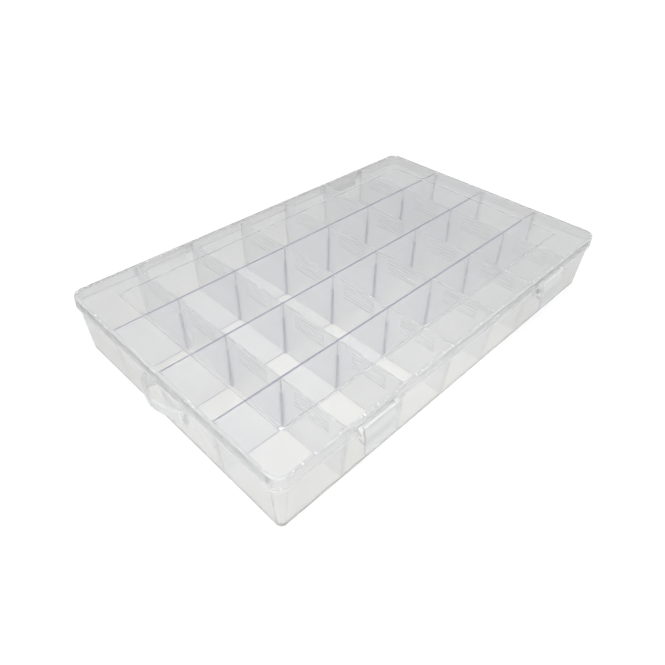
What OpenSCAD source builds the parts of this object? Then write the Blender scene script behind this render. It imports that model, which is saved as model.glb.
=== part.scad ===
// Embroidery thread box: a flat clear plastic organiser with 28 compartments.
// Millimetres, +Z up. The origin is the middle of the tray's underside. The long side
// runs along X, the latches are on the front (-Y), the lid hinges at the back (+Y) and
// the hanging loop is on the left end (-X).
//
// The tray holds three long dividers and twenty-four short ones. Each divider drops
// between pairs of guide ribs. Short dividers are named by row, a at the front to d at
// the back, and by column, 1 at the loop end to 6.

/* [Lid] */
// Length of the lid over its skirt
lid_l = 345; // [300:1:380]
// Width of the lid over its skirt
lid_w = 217; // [190:1:240]
// Thickness of the lid's top plate
lid_t = 1.4; // [1:0.1:2.5]
// Height of the skirt, from the lid's top face down
skirt_h = 9.2; // [8.6:0.1:12]
// Thickness of the skirt at its lower edge
skirt_t = 1.3; // [1.2:0.1:1.8]
// Radius of the lid's corners seen from above
lid_r = 9; // [7:0.5:14]
// Rounding of the lid's upper edge
lid_edge = 1.4; // [0.8:0.1:2]
// How far the skirt leans in at its top, so that the lid leaves its mould
lid_lean = 0.4; // [0.2:0.1:0.8]
// Height of the raised panel on the lid
panel_h = 0.8; // [0.4:0.1:1.2]
// Distance from the lid's end to the raised panel
panel_in_l = 24; // [15:1:40]
// Distance from the lid's long side to the raised panel
panel_in_w = 24; // [15:1:40]
// Corner radius of the raised panel
panel_r = 4; // [2:0.5:10]

/* [Tray] */
// Height of the tray, from its underside to its rim
tray_h = 47; // [40:0.5:60]
// Wall thickness of the tray
wall_t = 1.3; // [1.2:0.1:2]
// Thickness of the tray's floor
floor_t = 1.6; // [1.2:0.1:3]
// How far the wall leans in from the ledge to the underside
draft_in = 2.3; // [1:0.1:3.5]
// Height of the flare that carries the ledge under the lid's skirt
flare_h = 6; // [4:0.5:7]
// Height of the ledge's upright lip
lip_h = 1.3; // [0.8:0.1:2]
// How far the ledge stays inside the lid's outer face
ledge_in = 0.6; // [0.3:0.1:1.2]
// Round where the floor meets the walls
floor_round = 2; // [1:0.5:4]
// Round on the tray's lower outer edge
foot_round = 1.2; // [0.6:0.1:1.4]
// Radius of the underside's corners seen from above
foot_r = 4; // [3:0.5:6]

/* [Dividers] */
// Thickness of a long divider
long_t = 1.5; // [1.2:0.1:2]
// Thickness of a short divider
short_t = 1.2; // [1:0.1:1.8]
// How far the divider tops stay below the tray's rim
divider_down = 0.5; // [0.3:0.1:4]
// Thickness of a guide rib
rib_t = 1; // [0.8:0.1:1.6]
// How far a guide rib stands out from its wall
rib_d = 1.4; // [1:0.1:2]
// How far a guide rib stands out from a long divider
long_rib_d = 1.1; // [0.8:0.1:2]
// Height of the guide ribs on a long divider, from the floor
long_rib_h = 32; // [20:1:36]
// Length of the grip ridges on a short divider
grip_l = 28; // [15:1:34]
// Distance between two grip ridges
grip_step = 2.6; // [2:0.1:3.4]
// Height of one grip ridge
grip_t = 0.9; // [0.5:0.1:1.2]
// How far a grip ridge stands out
grip_d = 0.35; // [0.2:0.05:0.6]
// Depth of the first grip ridge below the divider's top
grip_down = 3; // [2:0.5:8]

/* [Hinges] */
// Distance from the middle of the box to each hinge
hinge_x = 97; // [60:1:120]
// Width of the tray's hinge clip
clip_w = 34; // [20:1:44]
// Width of one hinge arm on the lid
arm_w = 8; // [5:1:12]
// Height of a hinge arm's root over the skirt's lower edge
arm_rise = 6.5; // [5.5:0.5:7]
// Radius of the hinge rod
rod_r = 1.5; // [1.2:0.1:1.6]
// Outer radius of the hinge clip
clip_r = 2.9; // [2.8:0.1:3]
// Distance from the lid's back face to the hinge axis
hinge_out = 2.4; // [2.3:0.1:3]
// Height of the hinge axis over the skirt's lower edge
hinge_up = 0.8; // [0.6:0.1:1]

/* [Latches] */
// Distance from the middle of the box to each latch
latch_x = 98; // [50:1:125]
// Width of a latch
latch_w = 27; // [20:1:40]
// Height of a latch below its axis
latch_drop = 20; // [17:0.5:24]
// Thickness of a latch's plate
latch_t = 1.6; // [1.3:0.1:1.8]
// Radius of the latch's rod on the lid
pivot_r = 1; // [0.8:0.05:1.05]
// Outer radius of the latch's barrel
barrel_r = 1.9; // [1.8:0.05:2]
// Distance from the lid's front face to the latch's axis
pivot_out = 0.8; // [0.7:0.1:1.4]
// Height of the latch's axis over the skirt's lower edge
pivot_up = 1.3; // [1.2:0.1:2]
// Height of the lower end of a latch's sloping part below its axis
slope_drop = 3; // [2:0.5:5]
// How far a latch's plate stands out beyond its barrel
plate_out = 1.6; // [0.8:0.1:2]
// How far a latch's foot flares out for a fingernail
foot_out = 0.8; // [0.4:0.1:1.2]
// Width of the lug at each end of a latch's rod
lug_w = 3; // [2:0.5:5]
// Height of a lug's root over the latch's axis
lug_rise = 3; // [2:0.5:4]
// Width of the catch on the tray
catch_w = 24; // [16:1:28]
// Depth of the catch below the ledge
catch_drop = 8; // [7:0.5:9]
// How far the latch's hook reaches under the catch
bite = 1; // [0.6:0.1:1.2]
// Height of the latch's hook
hook_h = 1.8; // [1.2:0.1:2.4]

/* [Hanging loop] */
// Half the loop's length along the wall
loop_half = 24; // [18:1:34]
// How far the loop stands out from the wall
loop_out = 9.6; // [9:0.2:14]
// Thickness of the loop's band
loop_t = 2.1; // [1.6:0.1:2.4]
// Height of the loop's band
loop_h = 11.5; // [6:0.5:14]
// Height of the loop's upper edge over the underside
loop_top = 31; // [26:0.5:33]

/* [Clearances] */
// Gap all round between the lid's skirt and the tray's rim
fit_gap = 0.3; // [0.2:0.05:0.5]
// Gap between the lid and what it rests on
rest_gap = 0.3; // [0.2:0.05:0.4]
// Gap on each side of a divider in its ribs
slot_gap = 0.2; // [0.15:0.05:0.3]
// Gap at a divider's ends
end_gap = 0.25; // [0.2:0.05:0.4]
// Gap between a divider and the floor
seat_gap = 0.2; // [0.15:0.05:0.4]
// Radial gap between a rod and its clip
pin_gap = 0.08; // [0.05:0.01:0.1]
// Gap at the sides of a clip or latch
side_gap = 0.4; // [0.3:0.1:0.8]
// Gap between the latch's hook and the catch
hook_gap = 0.3; // [0.2:0.05:0.5]

/* [Hidden] */
$fn = 48;
cols = 7;
rows = 4;

clear_plastic = [0.90, 0.92, 0.94, 0.45];
tinted_plastic = [0.80, 0.81, 0.92, 0.55];

// The tray's rim fits inside the lid's skirt.
rim_l = lid_l - 2*(skirt_t + fit_gap);
rim_w = lid_w - 2*(skirt_t + fit_gap);
rim_r = lid_r - skirt_t - fit_gap;
in_r = rim_r - wall_t;
// Heights of the closed box.
plate_low = tray_h + rest_gap;
plate_top = plate_low + lid_t;
skirt_low = plate_top - skirt_h;
ledge_z = skirt_low - rest_gap;
flare_z = ledge_z - flare_h;
ledge_l = lid_l - 2*ledge_in;
ledge_w = lid_w - 2*ledge_in;
// Rods and where they lie.
hinge_y = lid_w/2 + hinge_out;
hinge_z = skirt_low + hinge_up;
pivot_y = -(lid_w/2 + pivot_out);
pivot_z = skirt_low + pivot_up;
// Compartments.
pitch_x = (rim_l - 2*wall_t)/cols;
pitch_y = (rim_w - 2*wall_t)/rows;
div_low = floor_t + seat_gap;
div_top = tray_h - divider_down;

// How far the wall leans in at height z.
function inset_at(z) = draft_in*max(0, 1 - z/ledge_z);
function half_l(z) = rim_l/2 - inset_at(z);
function half_w(z) = rim_w/2 - inset_at(z);
function room_l(z) = half_l(z) - wall_t;
function room_w(z) = half_w(z) - wall_t;

// A rectangle with round corners, centred on the origin.
module round_rect(l, w, r) {
    square([l - 2*r, w], center = true);
    square([l, w - 2*r], center = true);
    for (x = [-1, 1])
        for (y = [-1, 1])
            translate([x*(l/2 - r), y*(w/2 - r)])
                circle(r, $fn = 32);
}

// A very thin layer of that rectangle whose upper face is at height z.
module layer(z, l, w, r) {
    translate([0, 0, z - 0.01])
        linear_extrude(0.01)
            round_rect(l, w, r);
}

// Extrudes an outline drawn as (y, z) along X from x to x + w.
module along_x(x, w) {
    translate([x, 0, 0])
        rotate([90, 0, 90])
            linear_extrude(w)
                children();
}

// Extrudes an outline drawn as (x, z) along Y from y to y + w.
module along_y(y, w) {
    translate([0, y + w, 0])
        rotate([90, 0, 0])
            linear_extrude(w)
                children();
}

// The tray

module tray_outside() {
    flare_top = flare_z + flare_h/2 + 0.5;
    hull() {
        layer(0.01, 2*(half_l(0) - foot_round), 2*(half_w(0) - foot_round), foot_r - foot_round);
        layer(foot_round, 2*half_l(foot_round), 2*half_w(foot_round), foot_r);
        layer(flare_top, 2*half_l(flare_top), 2*half_w(flare_top), rim_r);
    }
    // The flare grows out of the wall from just inside it.
    hull() {
        layer(flare_z, 2*(half_l(flare_z) - 0.4), 2*(half_w(flare_z) - 0.4), rim_r - 0.4);
        layer(ledge_z - lip_h, ledge_l, ledge_w, lid_r - ledge_in);
        layer(ledge_z, ledge_l, ledge_w, lid_r - ledge_in);
    }
    translate([0, 0, flare_z + flare_h/2])
        linear_extrude(tray_h - flare_z - flare_h/2)
            round_rect(rim_l, rim_w, rim_r);
}

module tray_room() {
    hull() {
        layer(floor_t + 0.01, 2*(room_l(floor_t) - floor_round),
            2*(room_w(floor_t) - floor_round), max(0.6, foot_r - wall_t - floor_round));
        layer(floor_t + floor_round, 2*room_l(floor_t + floor_round),
            2*room_w(floor_t + floor_round), foot_r - wall_t);
        layer(ledge_z, 2*room_l(ledge_z), 2*room_w(ledge_z), in_r);
        layer(tray_h + 1, 2*room_l(tray_h), 2*room_w(tray_h), in_r);
    }
}

// One guide rib against a wall, drawn as (distance from the middle, z).
module wall_rib(room_low, room_high) {
    polygon([
        [room_low - rib_d, floor_t - 0.4],
        [room_low + wall_t/2, floor_t - 0.4],
        [room_high + wall_t/2, ledge_z],
        [room_high + wall_t/2, div_top - 1],
        [room_high - rib_d, div_top - 1],
        [room_high - rib_d, ledge_z]]);
}

// Pairs of ribs that hold the ends of the long dividers on the two end walls.
module end_wall_ribs() {
    for (side = [0, 1])
        mirror([side, 0, 0])
            for (row = [-1:1])
                for (s = [-1, 1])
                    along_y(row*pitch_y + s*(long_t/2 + slot_gap + rib_t/2) - rib_t/2, rib_t)
                        wall_rib(room_l(floor_t - 0.4), room_l(ledge_z));
}

// Pairs of ribs that hold the short dividers on the front and back walls.
module side_wall_ribs() {
    for (side = [0, 1])
        mirror([0, side, 0])
            for (col = [1:cols - 1])
                for (s = [-1, 1])
                    along_x((col - cols/2)*pitch_x
                        + s*(short_t/2 + slot_gap + rib_t/2) - rib_t/2, rib_t)
                        wall_rib(room_w(floor_t - 0.4), room_w(ledge_z));
}

// Plan of the hanging loop as seen from above, growing towards +X from the wall.
function bow(half, out) = [for (k = [0:24])
    let (a = 180*k/24) [out*pow(sin(a), 1.25), half*sign(cos(a))*pow(abs(cos(a)), 1.25)]];

module hanging_loop() {
    root = half_l(loop_top - loop_h) - wall_t/2;
    mirror([1, 0, 0])
        translate([root, 0, loop_top - loop_h])
            linear_extrude(loop_h)
                difference() {
                    polygon(bow(loop_half, loop_out + wall_t/2));
                    polygon(bow(loop_half - 1.9*loop_t, loop_out + wall_t/2 - loop_t));
                }
}

// One hinge clip, open upwards and backwards so that the lid's rod snaps in.
module hinge_clip(x) {
    difference() {
        union() {
            translate([x - clip_w/2, hinge_y, hinge_z])
                rotate([0, 90, 0])
                    cylinder(r = clip_r, h = clip_w);
            along_x(x - clip_w/2, clip_w)
                polygon([
                    [rim_w/2 - wall_t/2, ledge_z],
                    [rim_w/2 - wall_t/2, flare_z],
                    [half_w(flare_z) - 0.3, flare_z],
                    [hinge_y + clip_r*0.55, hinge_z - clip_r*0.8],
                    [hinge_y, hinge_z],
                    [hinge_y - clip_r*0.7, ledge_z]]);
        }
        translate([x - clip_w/2 - 1, hinge_y, hinge_z])
            rotate([0, 90, 0])
                cylinder(r = rod_r + pin_gap, h = clip_w + 2);
        translate([x - clip_w/2 - 1, hinge_y, hinge_z])
            rotate([45, 0, 0])
                translate([0, -0.75*rod_r, 0])
                    cube([clip_w + 2, 1.5*rod_r, 2*clip_r]);
    }
}

// The flat-bottomed bar that the latch's hook holds on to.
module catch(x) {
    along_x(x - catch_w/2, catch_w)
        polygon([
            [-(half_w(ledge_z - catch_drop) - wall_t/2), ledge_z - catch_drop],
            [-(half_w(ledge_z) - wall_t/2), ledge_z - 0.4],
            [-ledge_w/2, ledge_z - 0.4],
            [-ledge_w/2, ledge_z - catch_drop]]);
}

module base_tray() {
    color(clear_plastic)
        union() {
            difference() {
                tray_outside();
                tray_room();
            }
            end_wall_ribs();
            side_wall_ribs();
            hanging_loop();
            for (x = [-hinge_x, hinge_x])
                hinge_clip(x);
            for (x = [-latch_x, latch_x])
                catch(x);
        }
}

// The lid

module lid_shell() {
    difference() {
        hull() {
            layer(skirt_low + 0.01, lid_l, lid_w, lid_r);
            layer(plate_top - lid_edge, lid_l - 2*lid_lean, lid_w - 2*lid_lean, lid_r);
            layer(plate_top - 0.3*lid_edge, lid_l - 2*lid_lean - 0.6*lid_edge,
                lid_w - 2*lid_lean - 0.6*lid_edge, lid_r - 0.3*lid_edge);
            layer(plate_top, lid_l - 2*lid_lean - 2*lid_edge,
                lid_w - 2*lid_lean - 2*lid_edge, lid_r - lid_edge);
        }
        translate([0, 0, skirt_low - 1])
            linear_extrude(plate_low - skirt_low + 1)
                round_rect(lid_l - 2*skirt_t, lid_w - 2*skirt_t, lid_r - skirt_t);
    }
}

// The raised panel, hollow underneath so that the plate keeps its thickness.
module panel() {
    translate([0, 0, plate_low])
        linear_extrude(lid_t + panel_h)
            round_rect(lid_l - 2*panel_in_l, lid_w - 2*panel_in_w, panel_r);
}

module panel_hollow() {
    translate([0, 0, plate_low - 1])
        linear_extrude(panel_h + 1)
            round_rect(lid_l - 2*(panel_in_l + lid_t), lid_w - 2*(panel_in_w + lid_t),
                max(0.6, panel_r - lid_t));
}

// The gap in the skirt behind a hinge clip.
module clip_notch(x) {
    translate([x - clip_w/2 - side_gap, lid_w/2 - skirt_t - 1, skirt_low - 1])
        cube([clip_w + 2*side_gap, skirt_t + 2, clip_r + hinge_up + 2]);
}

// The gap in the skirt behind a latch's barrel.
module latch_notch(x) {
    translate([x - latch_w/2 - side_gap, -lid_w/2 - 1, skirt_low - 1])
        cube([latch_w + 2*side_gap, skirt_t + 2, pivot_up + barrel_r + 1.6]);
}

// Two arms and the rod between them at one hinge.
module hinge_arms(x) {
    reach = clip_w/2 + side_gap;
    for (s = [-1, 1]) {
        x0 = s > 0 ? x + reach : x - reach - arm_w;
        translate([x0, hinge_y, hinge_z])
            rotate([0, 90, 0])
                cylinder(r = clip_r - 0.4, h = arm_w);
        along_x(x0, arm_w)
            polygon([
                [lid_w/2 - skirt_t/2, skirt_low + 0.3],
                [hinge_y, hinge_z],
                [hinge_y + 1.2, hinge_z + clip_r - 1.2],
                [lid_w/2 - lid_lean/2, skirt_low + arm_rise],
                [lid_w/2 - skirt_t/2, skirt_low + arm_rise]]);
    }
    translate([x - reach - 1, hinge_y, hinge_z])
        rotate([0, 90, 0])
            cylinder(r = rod_r, h = 2*reach + 2);
}

// Two lugs and the rod between them at one latch.
module latch_lugs(x) {
    reach = latch_w/2 + side_gap;
    for (s = [-1, 1]) {
        x0 = s > 0 ? x + reach : x - reach - lug_w;
        translate([x0, pivot_y, pivot_z])
            rotate([0, 90, 0])
                cylinder(r = barrel_r - 0.3, h = lug_w);
        along_x(x0, lug_w)
            polygon([
                [-(lid_w/2 - skirt_t/2), skirt_low + 0.4],
                [-(lid_w/2 - skirt_t/2), pivot_z + lug_rise],
                [-(lid_w/2 - lid_lean/2), pivot_z + lug_rise],
                [pivot_y - 0.6, pivot_z + barrel_r - 0.7],
                [pivot_y, pivot_z],
                [pivot_y, pivot_z - barrel_r + 0.5]]);
    }
    translate([x - reach - 1, pivot_y, pivot_z])
        rotate([0, 90, 0])
            cylinder(r = pivot_r, h = 2*reach + 2);
}

module lid() {
    color(clear_plastic)
        union() {
            difference() {
                union() {
                    lid_shell();
                    panel();
                }
                panel_hollow();
                for (x = [-hinge_x, hinge_x])
                    clip_notch(x);
                for (x = [-latch_x, latch_x])
                    latch_notch(x);
            }
            for (x = [-hinge_x, hinge_x])
                hinge_arms(x);
            for (x = [-latch_x, latch_x])
                latch_lugs(x);
        }
}

// The latches

hook_top = ledge_z - catch_drop - hook_gap;
hook_tip = ledge_w/2 - bite;
// Outer face of the latch's straight part, measured from the middle of the box.
latch_face = lid_w/2 + pivot_out + barrel_r + plate_out;
// Height at which the sloping upper part meets the straight part.
latch_bend = pivot_z - slope_drop;

// Side view of a latch, drawn as (distance to the front, z).
module latch_side() {
    polygon([
        [-pivot_y, pivot_z - 0.8*barrel_r],
        [-pivot_y + 0.65*barrel_r, pivot_z],
        [-pivot_y + 0.65*barrel_r, pivot_z + 0.7*barrel_r],
        [latch_face, latch_bend],
        [latch_face, pivot_z - latch_drop + 2],
        [latch_face + foot_out, pivot_z - latch_drop],
        [latch_face + foot_out/2 - latch_t, pivot_z - latch_drop],
        [latch_face - latch_t, pivot_z - latch_drop + 2],
        [latch_face - latch_t, hook_top - hook_h - 0.9],
        [hook_tip + 0.9, hook_top - hook_h],
        [hook_tip, hook_top - 0.6],
        [hook_tip, hook_top],
        [latch_face - latch_t, hook_top],
        [latch_face - latch_t, latch_bend - 0.3]]);
}

module latch(x) {
    color(clear_plastic)
        difference() {
            union() {
                translate([x - latch_w/2, pivot_y, pivot_z])
                    rotate([0, 90, 0])
                        cylinder(r = barrel_r, h = latch_w);
                mirror([0, 1, 0])
                    along_x(x - latch_w/2, latch_w)
                        latch_side();
            }
            translate([x - latch_w/2 - 1, pivot_y, pivot_z])
                rotate([0, 90, 0])
                    cylinder(r = pivot_r + pin_gap, h = latch_w + 2);
            translate([x - latch_w/2 - 1, pivot_y, pivot_z])
                rotate([-30, 0, 0])
                    translate([0, -0.7*pivot_r, 0])
                        cube([latch_w + 2, 1.4*pivot_r, 2*barrel_r]);
        }
}

// The dividers

// The edge of a divider that follows the wall, from the floor up.
function wall_edge(low, mid, high) = [
    [low - end_gap - floor_round, div_low],
    [mid - end_gap, div_low + floor_round],
    [high - end_gap, ledge_z],
    [high - end_gap, div_top]];

module long_divider(row) {
    edge = wall_edge(room_l(div_low), room_l(div_low + floor_round), room_l(ledge_z));
    color(tinted_plastic)
        union() {
            along_y(row*pitch_y - long_t/2, long_t)
                polygon(concat(edge, [for (k = [3:-1:0]) [-edge[k][0], edge[k][1]]]));
            for (col = [1:cols - 1])
                for (s = [-1, 1])
                    translate([(col - cols/2)*pitch_x + s*(short_t/2 + slot_gap + rib_t/2) - rib_t/2,
                        row*pitch_y - long_t/2 - long_rib_d, div_low])
                        cube([rib_t, long_t + 2*long_rib_d, long_rib_h]);
        }
}

// Grip ridges on both faces, round the middle y of a short divider at x.
module grip_ridges(x, y) {
    for (k = [0:4])
        translate([x - short_t/2 - grip_d, y - grip_l/2, div_top - grip_down - k*grip_step - grip_t])
            cube([short_t + 2*grip_d, grip_l, grip_t]);
}

// A short divider between two long ones, row 1 or 2 counted from the front.
module inner_short(row, col) {
    x = (col - cols/2)*pitch_x;
    y0 = (row - rows/2)*pitch_y + long_t/2 + end_gap;
    y1 = (row + 1 - rows/2)*pitch_y - long_t/2 - end_gap;
    color(clear_plastic)
        union() {
            translate([x - short_t/2, y0, div_low])
                cube([short_t, y1 - y0, div_top - div_low]);
            grip_ridges(x, (y0 + y1)/2);
        }
}

// A short divider between a long one and the front or back wall.
module outer_short(side, col) {
    x = (col - cols/2)*pitch_x;
    y0 = pitch_y + long_t/2 + end_gap;
    edge = wall_edge(room_w(div_low), room_w(div_low + floor_round), room_w(ledge_z));
    color(clear_plastic)
        mirror([0, side < 0 ? 1 : 0, 0])
            union() {
                along_x(x - short_t/2, short_t)
                    polygon(concat([[y0, div_low]], edge, [[y0, div_top]]));
                grip_ridges(x, 1.5*pitch_y);
            }
}

base_tray();
lid();
latch(-latch_x);  // latch_left
latch(latch_x);  // latch_right
long_divider(-1);  // long_divider_front
long_divider(0);  // long_divider_middle
long_divider(1);  // long_divider_back
outer_short(-1, 1);  // short_divider_a1
outer_short(-1, 2);  // short_divider_a2
outer_short(-1, 3);  // short_divider_a3
outer_short(-1, 4);  // short_divider_a4
outer_short(-1, 5);  // short_divider_a5
outer_short(-1, 6);  // short_divider_a6
inner_short(1, 1);  // short_divider_b1
inner_short(1, 2);  // short_divider_b2
inner_short(1, 3);  // short_divider_b3
inner_short(1, 4);  // short_divider_b4
inner_short(1, 5);  // short_divider_b5
inner_short(1, 6);  // short_divider_b6
inner_short(2, 1);  // short_divider_c1
inner_short(2, 2);  // short_divider_c2
inner_short(2, 3);  // short_divider_c3
inner_short(2, 4);  // short_divider_c4
inner_short(2, 5);  // short_divider_c5
inner_short(2, 6);  // short_divider_c6
outer_short(1, 1);  // short_divider_d1
outer_short(1, 2);  // short_divider_d2
outer_short(1, 3);  // short_divider_d3
outer_short(1, 4);  // short_divider_d4
outer_short(1, 5);  // short_divider_d5
outer_short(1, 6);  // short_divider_d6
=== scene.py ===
# %% [markdown]
# # A clear box for embroidery thread
#
# The real object is a flat organiser moulded in clear plastic: a tray, a lid with a raised
# panel, two latches, and dividers that drop into pairs of ribs. Clear plastic shows every
# wall from both sides, so each piece here is one closed solid with the right thickness and
# rounded edges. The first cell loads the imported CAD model, which gives the place and the
# size of each piece.

# %% Load the frame
import math

import bmesh
import bpy
from mathutils import Matrix, Vector


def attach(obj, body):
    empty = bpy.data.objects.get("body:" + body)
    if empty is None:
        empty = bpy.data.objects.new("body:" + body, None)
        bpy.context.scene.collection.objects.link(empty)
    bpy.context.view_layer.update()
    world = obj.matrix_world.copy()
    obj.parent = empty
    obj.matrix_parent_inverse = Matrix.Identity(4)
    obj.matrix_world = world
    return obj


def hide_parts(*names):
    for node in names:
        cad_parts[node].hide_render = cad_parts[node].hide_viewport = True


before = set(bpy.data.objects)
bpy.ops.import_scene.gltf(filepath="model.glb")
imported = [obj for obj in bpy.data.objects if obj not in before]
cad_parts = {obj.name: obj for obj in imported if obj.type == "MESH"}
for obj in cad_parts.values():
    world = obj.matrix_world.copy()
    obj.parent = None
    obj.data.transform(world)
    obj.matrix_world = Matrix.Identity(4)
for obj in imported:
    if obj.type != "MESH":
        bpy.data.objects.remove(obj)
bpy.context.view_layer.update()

# %% [markdown]
# ## The sizes
#
# The dressed pieces keep the sizes of the solids. Written in millimetres they can be read
# beside a ruler, and one factor turns the finished meshes into metres. The heights that
# follow from others are worked out here once.

# %% Sizes in millimetres
MM = 0.001
# The lid: length, width, corner radius and plate; its skirt; its raised panel.
LID_L, LID_W, LID_R, LID_T = 345.0, 217.0, 9.0, 1.4
SKIRT_H, SKIRT_T, LEAN, EDGE = 9.2, 1.3, 0.4, 1.4
PANEL_IN, PANEL_R, PANEL_H = 24.0, 4.0, 0.8
PANEL_X, PANEL_Y = LID_L / 2 - PANEL_IN, LID_W / 2 - PANEL_IN
# The tray, the dividers, and the clearances between the pieces.
TRAY_H, WALL, FLOOR, DRAFT = 47.0, 1.3, 1.6, 2.3
LONG_T, SHORT_T = 1.5, 1.2
FIT, REST, SLOT, END_GAP, SEAT = 0.3, 0.3, 0.2, 0.25, 0.2
PLATE_LOW = TRAY_H + REST
PLATE_TOP = PLATE_LOW + LID_T
SKIRT_LOW = PLATE_TOP - SKIRT_H
LEDGE_Z = SKIRT_LOW - REST
RIM_L = LID_L - 2 * (SKIRT_T + FIT)
RIM_W = LID_W - 2 * (SKIRT_T + FIT)
RIM_R = LID_R - SKIRT_T - FIT
COLS, ROWS = 7, 4
PITCH_X = (RIM_L - 2 * WALL) / COLS
PITCH_Y = (RIM_W - 2 * WALL) / ROWS
DIV_LOW, DIV_TOP = FLOOR + SEAT, TRAY_H - 0.5
print("pitch of the compartments, mm:", round(PITCH_X, 2), round(PITCH_Y, 2))


def lean_in(z):
    """How far the tray's wall leans in at height z, because a mould must let it go."""
    return DRAFT * max(0.0, 1 - z / LEDGE_Z)


# %% [markdown]
# ## Shells from rings
#
# The tray and the lid are thin shells with rounded corners. They could be modelled as blocks
# and hollowed out, but a stack of rounded rectangles is simpler: each ring has the same
# number of points, so the rings join with plain four-sided faces, and the wall's thickness
# is known everywhere.

# %% Rings and shells
CORNER_STEPS = 10


def ring(length, width, radius, z):
    """The points of a rounded rectangle, anticlockwise, at height z."""
    points = []
    for quarter, (sx, sy) in enumerate(((1, 1), (-1, 1), (-1, -1), (1, -1))):
        for k in range(CORNER_STEPS + 1):
            a = math.pi / 2 * (quarter + k / CORNER_STEPS)
            points.append((sx * (length / 2 - radius) + radius * math.cos(a),
                           sy * (width / 2 - radius) + radius * math.sin(a), z))
    return points


def shell(name, rings):
    """A closed solid through the rings, with the first and the last one filled."""
    bm = bmesh.new()
    loops = [[bm.verts.new(p) for p in points] for points in rings]
    for low, high in zip(loops, loops[1:]):
        for k in range(len(low)):
            n = (k + 1) % len(low)
            bm.faces.new((low[k], low[n], high[n], high[k]))
    bm.faces.new(loops[0][::-1])
    bm.faces.new(loops[-1])
    return to_object(name, bm)


def to_object(name, bm):
    """Merges doubles, turns the faces outwards and makes an object, still in millimetres."""
    bmesh.ops.remove_doubles(bm, verts=bm.verts, dist=1e-4)
    bmesh.ops.recalc_face_normals(bm, faces=bm.faces)
    mesh = bpy.data.meshes.new(name)
    bm.to_mesh(mesh)
    bm.free()
    piece = bpy.data.objects.new(name, mesh)
    bpy.context.scene.collection.objects.link(piece)
    return piece


print("points in each ring:", len(ring(LID_L, LID_W, LID_R, 0)))

# %% [markdown]
# ## Prisms with rounded edges
#
# Latches, ribs, lugs and dividers keep one outline along their whole length, because they
# leave the mould in that direction. A prism is such an outline pushed along an axis. No
# moulded edge is sharp, so a small bevel rounds it, and that line catches the light.

# %% Prisms
def prism(name, outline, axis, low, high, soft=0.2, steps=2, sharp=25):
    """An outline pushed along X, Y or Z from low to high. The outline is given as the two
    other coordinates in order: (y, z), (x, z) or (x, y)."""
    def place(p, d):
        return {"x": (d, p[0], p[1]), "y": (p[0], d, p[1]), "z": (p[0], p[1], d)}[axis]
    bm = bmesh.new()
    a = [bm.verts.new(place(p, low)) for p in outline]
    b = [bm.verts.new(place(p, high)) for p in outline]
    bm.faces.new(a)
    bm.faces.new(b[::-1])
    for k in range(len(a)):
        n = (k + 1) % len(a)
        bm.faces.new((a[k], b[k], b[n], a[n]))
    bmesh.ops.recalc_face_normals(bm, faces=bm.faces)
    if soft > 0:
        edges = [e for e in bm.edges if e.calc_face_angle(0) > math.radians(sharp)]
        bmesh.ops.bevel(bm, geom=edges, offset=soft, segments=steps, profile=0.5,
                        affect="EDGES", clamp_overlap=True)
    return to_object(name, bm)


def rod(name, y, z, radius, low, high, steps=32, soft=0.0):
    """A round bar along X."""
    outline = [(y + radius * math.cos(2 * math.pi * k / steps),
                z + radius * math.sin(2 * math.pi * k / steps)) for k in range(steps)]
    return prism(name, outline, "x", low, high, soft, sharp=40)


print("helpers for prisms:", prism.__name__, rod.__name__)

# %% [markdown]
# ## Joining, cutting and finishing
#
# What is moulded in one has no walls inside, and clear plastic would show each wall that is
# left there. Overlapping parts are therefore joined with exact booleans instead of only
# standing in each other. The last helper merges what the booleans leave, sets the shading,
# and hands the piece to the frame.

# %% Join, cut and finish
def evaluated(piece):
    """The piece's mesh with its modifiers worked out, as a plain mesh."""
    graph = bpy.context.evaluated_depsgraph_get()
    graph.update()
    return bpy.data.meshes.new_from_object(piece.evaluated_get(graph), depsgraph=graph)


def drop(piece):
    """Deletes a helper object and its mesh."""
    mesh = piece.data
    bpy.data.objects.remove(piece)
    if mesh.users == 0:
        bpy.data.meshes.remove(mesh)


def combine(piece, others, operation="UNION"):
    """Joins the others to the piece or cuts them out of it, one after another."""
    for other in others:
        step = piece.modifiers.new("step", "BOOLEAN")
        step.operation = operation
        step.solver = "EXACT"
        step.object = other
        old, piece.data = piece.data, evaluated(piece)
        piece.modifiers.remove(step)
        bpy.data.meshes.remove(old)
        drop(other)
    return piece


def split_at(piece, axis, places):
    """Draws new edges across the piece where a finish is to end. It stays closed."""
    bm = bmesh.new()
    bm.from_mesh(piece.data)
    for place in places:
        point, normal = [0, 0, 0], [0, 0, 0]
        point[axis], normal[axis] = place, 1
        bmesh.ops.bisect_plane(bm, geom=bm.verts[:] + bm.edges[:] + bm.faces[:],
                               plane_co=point, plane_no=normal)
    bm.to_mesh(piece.data)
    bm.free()
    return piece


SMOOTH_BELOW, FLAT_WEIGHT = 32, 80


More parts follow.
